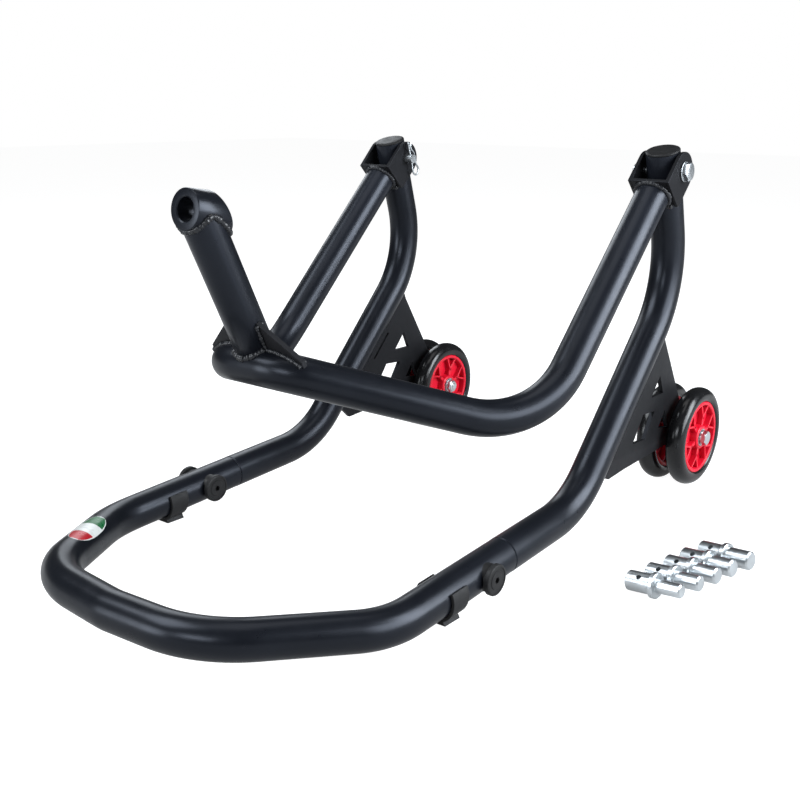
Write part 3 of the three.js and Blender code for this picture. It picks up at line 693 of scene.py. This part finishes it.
def wheel(label, centre):
    body = f"wheel_{label}"
    form = Form()
    form.turn(TYRE_PROFILE, centre, X, sides=120, closed=True)
    form.piece(f"tyre_{label}_moulding", TYRE_RUBBER, body, [f"tyre_{label}"], sharp=50)

    form = Form()
    form.turn(RIM_PROFILE, centre, X, sides=96, closed=True)
    form.turn(WEB_PROFILE, centre, X, sides=72, closed=True)
    form.turn(CORE_PROFILE, centre, X, sides=72, closed=True)
    for k in range(RIBS):
        a = 2 * math.pi * k / RIBS + RIB_TURN
        rib(form, centre, RIB_STEM, a)
        for lean in (-1, 1):
            tip = RIB_SPREAD * lean
            rib(form, centre, [(22, -1.5 + 0.2 * lean), (26, -1.5 + 0.5 * lean), (RIB_TIP, tip - RIB_HALF_W),
                               (RIB_TIP, tip + RIB_HALF_W), (26, 1.5 + 0.5 * lean), (22, 1.5 + 0.2 * lean)], a)
    form.piece(f"hub_{label}_moulding", HUB_PLASTIC, body, [f"hub_{label}"], bevel=0.55, sharp=32)

    for end, e in (("a", -1), ("b", 1)):
        form = Form()
        form.turn(RACE_OUTER, centre, X * e, closed=True)
        form.turn(RACE_INNER, centre, X * e, closed=True)
        form.slot = 1
        form.turn(SEAL_PROFILE, centre, X * e, closed=True)
        node = f"bearing_{label}_{end}"
        form.piece(f"{node}_races", [ZINC, SEAL], body, [node])


def threads(form, radius, low, high, centre, axis, pitch=1.5):
    """A threaded shank: small rings with a bevelled tip at high."""
    profile = [(0, low), (radius, low)]
    z = low
    while z + pitch < high - 1.2:
        profile += [(radius, z + 0.1 * pitch), (radius - 0.5, z + 0.5 * pitch), (radius, z + 0.9 * pitch)]
        z += pitch
    profile += [(radius, high - 1.0), (radius - 1.0, high), (0, high)]
    form.turn(profile, centre, axis, sides=40)


# distances along the axle from the plate's middle: the spacer's ends and the wheel's outer face
near, far = 2.8, WHEEL_OFFSET - TYRE_HALF_W - WHEEL_GAP
face = WHEEL_OFFSET + TYRE_HALF_W + WHEEL_GAP
SPACER_PROFILE = [(5.6, near), (7.6, near), (8.0, near + 0.4), (8.0, far - 0.4), (7.6, far), (5.6, far)]
AXLE_PROFILE = [(0, -face - 2), (5, -face - 2), (5, face + 0.5), (8.2, face), (8.6, face + 0.4),
                (8.6, face + 1.3), (8.2, face + 1.7), (0, face + 1.7)]
AXLE_FACE = [(0, face + 7.0), (5.2, face + 7.0), (5.0, face + 7.25), (0, face + 7.25)]
WASHER_PROFILE = [(5.3, face), (9.6, face), (10, face + 0.4), (10, face + 1.3), (9.6, face + 1.7),
                  (5.3, face + 1.7)]
NUT_COLLAR = [(4.9, face + 6.3), (7.6, face + 6.3), (7.4, face + 7.6), (6.6, face + 8.0), (4.9, face + 8.0)]

for side, s in SIDES:
    axle = Vector((HALF_SPAN * s, WHEEL.y, WHEEL.z))
    for place_name, out in (("outer", s), ("inner", -s)):
        label = f"{side}_{place_name}"
        wheel(label, axle + X * (WHEEL_OFFSET * out))
        form = Form()
        form.turn(SPACER_PROFILE, axle, X * out, closed=True)
        form.piece(f"axle_spacer_{label}_collar", ZINC, LOWER, [f"axle_spacer_{label}"])
    form = Form()
    form.turn(AXLE_PROFILE, axle, X * s)
    form.hexagon(AXLE_HEX, face + 1.6, face + 7.2, axle, X * s, twist=0.35)
    form.turn(AXLE_FACE, axle, X * s)
    threads(form, 4.9, face + 1.0, face + 9.0, axle, X * -s)
    form.piece(f"axle_bolt_{side}_hex", ZINC, LOWER, [f"axle_bolt_{side}"])
    form = Form()
    form.turn(WASHER_PROFILE, axle, X * -s, closed=True)
    form.hexagon(AXLE_HEX, face + 1.6, face + 6.4, axle, X * -s, twist=0.1)
    form.turn(NUT_COLLAR, axle, X * -s, closed=True)
    form.piece(f"axle_nut_{side}_hex", ZINC, LOWER, [f"axle_nut_{side}"])

# ------------------------------------------------------------------ lift frame
arm_top = Vector((HALF_SPAN, PIN.y, PIN.z)) + ARM_DIR * (WEB_OUT + 0.2)
lift_line = bend_line([mirror(arm_top, -1), mirror(ARM_BEND, -1), mirror(LIFT_NOSE, -1), LIFT_NOSE, ARM_BEND,
                       arm_top], [ARM_BEND_R, LIFT_NOSE_BEND_R, LIFT_NOSE_BEND_R, ARM_BEND_R])
form = Form()
form.pipe(lift_line, [TUBE_R] * len(lift_line), wall=TUBE_WALL, sides=48)
form.piece("lift_tube_bent", TUBE_PAINT, LIFT, ["lift_tube"])

# head bush with chamfered rims; its rear half is sheared to the slanted end
form = Form()
form.turn([(BUSH_BORE_R + 1, BUSH_REAR), (BUSH_R - 1, BUSH_REAR), (BUSH_R - 0.3, BUSH_REAR + 0.3),
           (BUSH_R, BUSH_REAR + 1), (BUSH_R, BUSH_FRONT - 1), (BUSH_R - 0.3, BUSH_FRONT - 0.3),
           (BUSH_R - 1, BUSH_FRONT), (BUSH_BORE_R + 1, BUSH_FRONT), (BUSH_BORE_R, BUSH_FRONT - 1),
           (BUSH_BORE_R, BUSH_REAR + 1)], BUSH, BUSH_DIR, sides=72, closed=True)
for i, v in enumerate(form.verts):
    if (v - BUSH).dot(BUSH_DIR) < 0:
        form.verts[i] = v + BUSH_DIR * ((v - BUSH).dot(BUSH_UP) * BUSH_LEAN)
form.piece("head_bush_turned", TUBE_PAINT, LIFT, ["head_bush"])

NOSE_HALF_SPAN = 110
SEARCH_STEP = 0.5
up = (UPRIGHT_TOP - UPRIGHT_FOOT).normalized()
u1, u2 = across(up)
nose_line = [p for p in lift_line if abs(p.x) < NOSE_HALF_SPAN]


def to_bush(p, radius):
    """Distance along the upright from p to a cylinder of that radius round the bush's axis."""
    w = p - BUSH
    a = up - BUSH_DIR * up.dot(BUSH_DIR)
    b = w - BUSH_DIR * w.dot(BUSH_DIR)
    qa, qb, qc = a.dot(a), 2 * a.dot(b), b.dot(b) - radius ** 2
    return (-qb - math.sqrt(max(qb * qb - 4 * qa * qc, 0.0))) / (2 * qa)


def gap_to_line(p, line):
    """Distance from p to the nearest place on the line."""
    best = math.inf
    for a, b in zip(line, line[1:]):
        d = b - a
        t = min(1.0, max(0.0, (p - a).dot(d) / d.length_squared))
        best = min(best, (p - a - d * t).length)
    return best


def down_to_crossbar(p, radius, t, stop=0.0):
    """From t down the upright's direction to within that radius of the crossbar, or to stop."""
    while t > stop and gap_to_line(p + up * t, nose_line) > radius:
        t -= SEARCH_STEP
    return t


wall = circle(UPRIGHT_FOOT, u1, u2, UPRIGHT_R, 64)
low_ring = [p + up * down_to_crossbar(p, TUBE_R - 1.2, 40.0) for p in wall]
high_ring = [p + up * to_bush(p, BUSH_R - 1.0) for p in wall]
middle_ring = [p + up * 70 for p in wall]
low_in = [UPRIGHT_FOOT + (p - UPRIGHT_FOOT) * 0.87 for p in low_ring]
high_in = [p + (BUSH - p).normalized() for p in high_ring]
form = Form()
form.rings([low_in, low_ring, middle_ring, high_ring, high_in])
form.piece("lift_upright_tube", TUBE_PAINT, LIFT, ["lift_upright"], sharp=60)

welds = Form()
welds.bead([p + up * to_bush(p, BUSH_R + 0.4) for p in wall], 3.2, closed=True)
welds.bead([p + up * down_to_crossbar(p, TUBE_R + 0.6, 40.0) for p in wall], 3.4, closed=True)

# gussets keep their CAD solids; their edges are welded to both tubes
GUSSET_WELD_SIDE = 3.2
for side, s in SIDES:
    keep(f"gusset_{side}", PLATE_PAINT, bevel=0.6)
    tangent = X * s
    normal = tangent.cross(up)
    for offset in (-GUSSET_WELD_SIDE, GUSSET_WELD_SIDE):
        root = UPRIGHT_FOOT + normal * offset
        welds.bead([root + tangent * (UPRIGHT_R + 0.4) + up * t for t in (16, 26, 36, 47)], 2.2)
        foot = []
        for u in range(20, 61, 4):
            start = root + tangent * u
            t = down_to_crossbar(start, TUBE_R + 0.4, 45.0, -25.0)
            if t > -25.0:
                foot.append(start + up * t)
        if len(foot) > 2:
            welds.bead(foot, 2.6)

# ------------------------------------------------------------------ clevis brackets, pins and clips
PIN_HEX = 19
CLIP_R = 1.25
CLIP_OUT = 6.5
# straight leg through the pin, coil eye below and bowed leg over the pin, as (bow, leg) places
CLIP_WIRE = [(0, 21), (0, 10), (0, 0), (0, -10), (-0.5, -15), (0.5, -20.5), (4.5, -24), (9.5, -22.5),
             (11.5, -17.5), (9.5, -12.5), (8.2, -8), (8.6, -3), (8.8, 1), (7.4, 6), (4.2, 11), (3.4, 15), (5.6, 21)]
CLIP_TURN = {"left": 0.0, "right": math.radians(60)}
half = EAR_GAP / 2
ear_face = half + EAR_T
EAR_OUTLINE = [(-WEB_OUT, 21.0), (-WEB_OUT, -19.0), (-WEB_OUT + 2.5, -21.5)]
EAR_OUTLINE += [(EAR_R * math.sin(a), -EAR_R * math.cos(a)) for a in (math.pi * k / 32 for k in range(33))]
WEB_OUTLINE = [(-WEB_OUT, -16.8), (-WEB_OUT + WEB_T, -16.8), (-WEB_OUT + WEB_T, 21), (-WEB_OUT, 21)]
PIN_PROFILE = [(0, -ear_face - 12), (5.0, -ear_face - 12), (6, -ear_face - 11), (6, ear_face + 0.2),
               (10.8, ear_face + 0.25), (11.2, ear_face + 0.6), (11.2, ear_face + 1.4),
               (10.8, ear_face + 1.8), (0, ear_face + 1.8)]


def smoothed(knots, steps=6):
    """A smooth line through the knots (Catmull-Rom)."""
    out = []
    for i in range(len(knots) - 1):
        p0, p1 = knots[max(i - 1, 0)], knots[i]
        p2, p3 = knots[i + 1], knots[min(i + 2, len(knots) - 1)]
        for k in range(steps):
            t = k / steps
            out.append(0.5 * ((2 * p1) + (p2 - p0) * t + (2 * p0 - 5 * p1 + 4 * p2 - p3) * t * t
                              + (3 * p1 - p0 - 3 * p2 + p3) * t ** 3))
    return out + [knots[-1]]


for side, s in SIDES:
    pin = Vector((HALF_SPAN * s, PIN.y, PIN.z))

    def bracket_point(u, v, w):
        """u back up the arm from the pin, v square to the arm, w across the stand."""
        return pin - ARM_DIR * u + ARM_UP * v + Vector((w, 0, 0))

    form = Form()
    form.prism(EAR_OUTLINE, -ear_face, -half, bracket_point)
    form.prism(EAR_OUTLINE, half, ear_face, bracket_point)
    form.prism(WEB_OUTLINE, -half - EAR_T / 2, half + EAR_T / 2, bracket_point)
    form.piece(f"clevis_bracket_{side}_folded", PLATE_PAINT, LIFT, [f"clevis_bracket_{side}"],
               bevel=0.7)

    # weld where the arm meets the web, and the lumps at the web's lower corners
    welds.bead(circle(pin + ARM_DIR * (WEB_OUT + 0.9), ARM_UP, X, TUBE_R + 0.5, 60), 3.0, closed=True)
    for w in (-half + 1, half - 1):
        welds.bead([bracket_point(-WEB_OUT + 4.5, v, w) for v in (-15.5, -11, -6)], 2.4)
        inward = -1.2 if w > 0 else 1.2
        welds.bead([bracket_point(-WEB_OUT - 0.6, -18.0 + 0.2 * k, w + inward * k) for k in range(6)], 3.0)

    form = Form()
    form.turn(PIN_PROFILE, pin, X * s, sides=56)
    form.hexagon(PIN_HEX, ear_face + 1.7, ear_face + 7.5, pin, X * s, twist=0.2)
    form.piece(f"hinge_pin_{side}_bolt", ZINC, LIFT, [f"hinge_pin_{side}"])

    turned = CLIP_TURN[side]
    leg = MAST_DIR * math.cos(turned) + MAST_BACK * math.sin(turned)
    bow = MAST_BACK * math.cos(turned) - MAST_DIR * math.sin(turned)
    wire = smoothed([pin - X * (s * (ear_face + CLIP_OUT)) + bow * u + leg * v for u, v in CLIP_WIRE])
    form = Form()
    form.pipe(wire, [CLIP_R] * len(wire), sides=12)
    form.piece(f"spring_clip_{side}_wire", ZINC, LIFT, [f"spring_clip_{side}"])

welds.piece("lift_weld_beads", WELD_PAINT, LIFT, sharp=60)

# ------------------------------------------------------------------ loose spigots
BASE_R, BASE_L, FLANGE_R, FLANGE_T, TIP_L = 10.25, 26.0, 13.0, 6.0, 26.0
FLANGE_START, TIP_START = BASE_L, BASE_L + FLANGE_T
TIP_END = TIP_START + TIP_L
HOLE_R, HOLE_REACH, HOLE_ALONG, HOLE_TILT = 2.6, 20, 14.5, math.radians(40)
REST_TILT = math.atan2(FLANGE_R - BASE_R, FLANGE_START + 0.8)      # each lies on its base rim and flange


def drill(obj, hole):
    """Cuts the hole's shape out of the object's mesh."""
    mesh = bpy.data.meshes.new("drill")
    mesh.from_pydata([at(*v) for v in hole.verts], [], hole.faces)
    fix_normals(mesh)
    cutter = bpy.data.objects.new("drill", mesh)
    bpy.context.scene.collection.objects.link(cutter)
    mod = obj.modifiers.new("hole", "BOOLEAN")
    mod.operation = "DIFFERENCE"
    mod.object = cutter
    drilled = bpy.data.meshes.new_from_object(obj.evaluated_get(bpy.context.evaluated_depsgraph_get()))
    obj.modifiers.clear()
    obj.data = drilled
    bpy.data.objects.remove(cutter)


for node, tip_d, base_x, base_y, heading in (
        ("spigot_14", 14.0, 303, 117.5, -4), ("spigot_15", 15.5, 310, 147, -6),
        ("spigot_17", 17.0, 316, 177, -8), ("spigot_18", 18.0, 321, 205, -9), ("spigot_20", 19.5, 328, 234, -9)):
    r = tip_d / 2
    h = math.radians(heading)
    level = Vector((math.cos(h), math.sin(h), 0))
    axis = level * math.cos(REST_TILT) + Vector((0, 0, math.sin(REST_TILT)))
    origin = Vector((base_x, base_y, BASE_R * math.cos(REST_TILT)))
    form = Form()
    form.turn([(0, 0), (BASE_R - 1.0, 0), (BASE_R, 1.0), (BASE_R, FLANGE_START - 0.3),
               (FLANGE_R - 1.0, FLANGE_START), (FLANGE_R, FLANGE_START + 1.0), (FLANGE_R, TIP_START - 1.0),
               (FLANGE_R - 1.0, TIP_START), (r + 0.4, TIP_START), (r, TIP_START + 0.5), (r, TIP_END - 1.4),
               (r - 1.4, TIP_END), (0, TIP_END)], origin, axis, sides=64)
    obj = form.piece(f"{node}_turned", ZINC, f"loose_{node}", [node], sharp=28)
    # cross hole near the base end
    beside = Vector((-math.sin(h), math.cos(h), 0))
    over = axis.cross(beside).normalized()
    hole_dir = (over * math.cos(HOLE_TILT) - beside * math.sin(HOLE_TILT)).normalized()
    hole = Form()
    hole.turn([(0, -HOLE_REACH), (HOLE_R, -HOLE_REACH), (HOLE_R, HOLE_REACH), (0, HOLE_REACH)],
              origin + axis * HOLE_ALONG, hole_dir, sides=24)
    drill(obj, hole)

# ------------------------------------------------------------------ oval decal on the left of the foot loop
DECAL_LENGTH, DECAL_WIDTH, DECAL_LIFT = 74.0, 27.0, 0.12
DECAL_LEAN = math.radians(14)
DECAL_COLUMNS, DECAL_ROWS = 72, 20
DECAL_BAND = 0.34                       # half width of the white middle, as a share of the half length
WHITE, RED, GREEN = 0, 1, 2

corner, kink = mirror(LOOP_CORNER, -1), mirror(LOOP_KINK, -1)
along = (kink - corner).normalized()
decal_mid = corner + along * ((Vector((-150, -194, 27)) - corner).dot(along))
inward = along.cross(Vector((0, 0, 1))).normalized()
sky = inward.cross(along).normalized()


def flat_paint(name, color):
    m = Nodes(name, color, 0.3, Specular_IOR_Level=0.25)
    m.rough(m.cloudy(120, 3, 0.24, 0.36))
    m.bump(m.noise(240, 2), 0.02)
    return m.mat


def decal_point(u, v):
    """u along the tube, v round it, both in millimetres on its surface."""
    turn = DECAL_LEAN + v / TUBE_R
    return decal_mid + along * u + (sky * math.cos(turn) + inward * math.sin(turn)) * (TUBE_R + DECAL_LIFT)


DECAL_MATERIALS = [flat_paint("decal_white", (0.46, 0.47, 0.46)),
                   flat_paint("decal_red", (0.28, 0.008, 0.014)),
                   flat_paint("decal_green", (0.012, 0.085, 0.03))]
form = Form()
index = {}
for i in range(DECAL_COLUMNS + 1):
    u = -1 + 2 * i / DECAL_COLUMNS
    reach = math.sqrt(1 - abs(u) ** 2.4)
    for j in range(DECAL_ROWS + 1):
        v = -1 + 2 * j / DECAL_ROWS
        index[i, j] = len(form.verts)
        form.verts.append(decal_point(u * DECAL_LENGTH / 2, v * reach * DECAL_WIDTH / 2))
for i in range(DECAL_COLUMNS):
    u = -1 + 2 * (i + 0.5) / DECAL_COLUMNS
    for j in range(DECAL_ROWS):
        v = -1 + 2 * (j + 0.5) / DECAL_ROWS
        border = abs(v) > 0.9 or abs(u) > 0.95
        form.faces.append([index[i, j], index[i + 1, j], index[i + 1, j + 1], index[i, j + 1]])
        form.slots.append(WHITE if border or abs(u) < DECAL_BAND else RED if u < 0 else GREEN)
form.piece("foot_loop_decal", DECAL_MATERIALS, LOWER, sharp=80)

# ------------------------------------------------------------------ studio
FLOOR_HALF = 9
FLOOR_DROP = 0.0002
FLOOR_GLOW_SEEN, FLOOR_GLOW_CAST = 0.96, 0.25   # white to the camera, mid grey to the object
WORLD_SEEN, WORLD_CAST = 1.0, 0.05

floor_mat = Nodes("pale_floor", (0.35, 0.35, 0.35), 0.6, Specular_IOR_Level=0.0,
                  Emission_Color=(1.0, 1.0, 1.0, 1))
seen = floor_mat.new("ShaderNodeLightPath").outputs["Is Camera Ray"]
floor_mat.link(floor_mat.remap(seen, 0.0, 1.0, FLOOR_GLOW_CAST, FLOOR_GLOW_SEEN),
               floor_mat.shader.inputs["Emission Strength"])
floor_mat.rough(floor_mat.cloudy(3, 2, 0.55, 0.65))
mesh = bpy.data.meshes.new("floor")
mesh.from_pydata([(FLOOR_HALF * a, FLOOR_HALF * b, 0) for a, b in ((-1, -1), (1, -1), (1, 1), (-1, 1))],
                 [], [(0, 1, 2, 3)])
mesh.materials.append(floor_mat.mat)
floor = bpy.data.objects.new("floor", mesh)
floor.location.z = -FLOOR_DROP
bpy.context.scene.collection.objects.link(floor)

# the world is white to the camera and a dim pale blue to everything else
world = bpy.data.worlds.new("studio")
world.use_nodes = True
sky_nodes = world.node_tree.nodes
links = world.node_tree.links
backdrop = sky_nodes["Background"]
backdrop.inputs["Color"].default_value = (1.0, 1.0, 1.0, 1)
backdrop.inputs["Strength"].default_value = WORLD_SEEN
room = sky_nodes.new("ShaderNodeBackground")
room.inputs["Color"].default_value = (0.92, 0.96, 1.0, 1)
room.inputs["Strength"].default_value = WORLD_CAST
either = sky_nodes.new("ShaderNodeMixShader")
links.new(sky_nodes.new("ShaderNodeLightPath").outputs["Is Camera Ray"], either.inputs["Fac"])
links.new(room.outputs["Background"], either.inputs[1])
links.new(backdrop.outputs["Background"], either.inputs[2])
links.new(either.outputs["Shader"], sky_nodes["World Output"].inputs["Surface"])
bpy.context.scene.world = world

# soft boxes: place in millimetres, width and height in metres, watts and colour
LIGHT_TARGET = at(0, 60, 150)
COOL, WHITE_LIGHT = (0.90, 0.95, 1.0), (1, 1, 1)
for name, place, size, power, tint in (
        ("left_box", (-791, -883, 1726), (1.2, 1.0), 36, COOL),
        ("right_box", (1500, 900, 900), (0.7, 1.3), 52, COOL),
        ("side_box", (1895, 226, 768), (1.0, 1.0), 37, COOL),
        ("low_box", (-900, -2000, 500), (1.0, 0.8), 26, COOL),
        ("back_box", (-1446, 1073, 1089), (1.0, 1.0), 12, COOL),
        ("top_box", (100, 100, 2100), (1.4, 1.0), 8, WHITE_LIGHT),
        ("front_box", (500, -2000, 900), (0.9, 0.5), 18, COOL)):
    data = bpy.data.lights.new(name, "AREA")
    data.shape = "RECTANGLE"
    data.size, data.size_y = size
    data.energy = power
    data.color = tint
    light = bpy.data.objects.new(name, data)
    light.location = at(*place)
    light.rotation_mode = "QUATERNION"
    light.rotation_quaternion = (LIGHT_TARGET - light.location).to_track_quat("-Z", "Y")
    bpy.context.scene.collection.objects.link(light)

# ------------------------------------------------------------------ camera
CAMERA_PLACE = at(737.94, -792.54, 469.31)
AZIMUTH, PITCH, ROLL = math.radians(38.69), math.radians(15.64), math.radians(0.35)
forward = Vector((-math.sin(AZIMUTH) * math.cos(PITCH), math.cos(AZIMUTH) * math.cos(PITCH), -math.sin(PITCH)))
right = Vector((math.cos(AZIMUTH), math.sin(AZIMUTH), 0))
above = right.cross(forward)
right, above = (right * math.cos(ROLL) + above * math.sin(ROLL), above * math.cos(ROLL) - right * math.sin(ROLL))
data = bpy.data.cameras.new("camera")
data.sensor_width = 36
data.lens = 48.35
data.clip_start, data.clip_end = 0.05, 60
camera = bpy.data.objects.new("camera", data)
turned = Matrix((right, above, -forward)).transposed().to_4x4()
camera.matrix_world = Matrix.Translation(CAMERA_PLACE) @ turned
bpy.context.scene.collection.objects.link(camera)
bpy.context.scene.camera = camera
bpy.context.scene.view_settings.view_transform = "Standard"

bpy.context.view_layer.update()
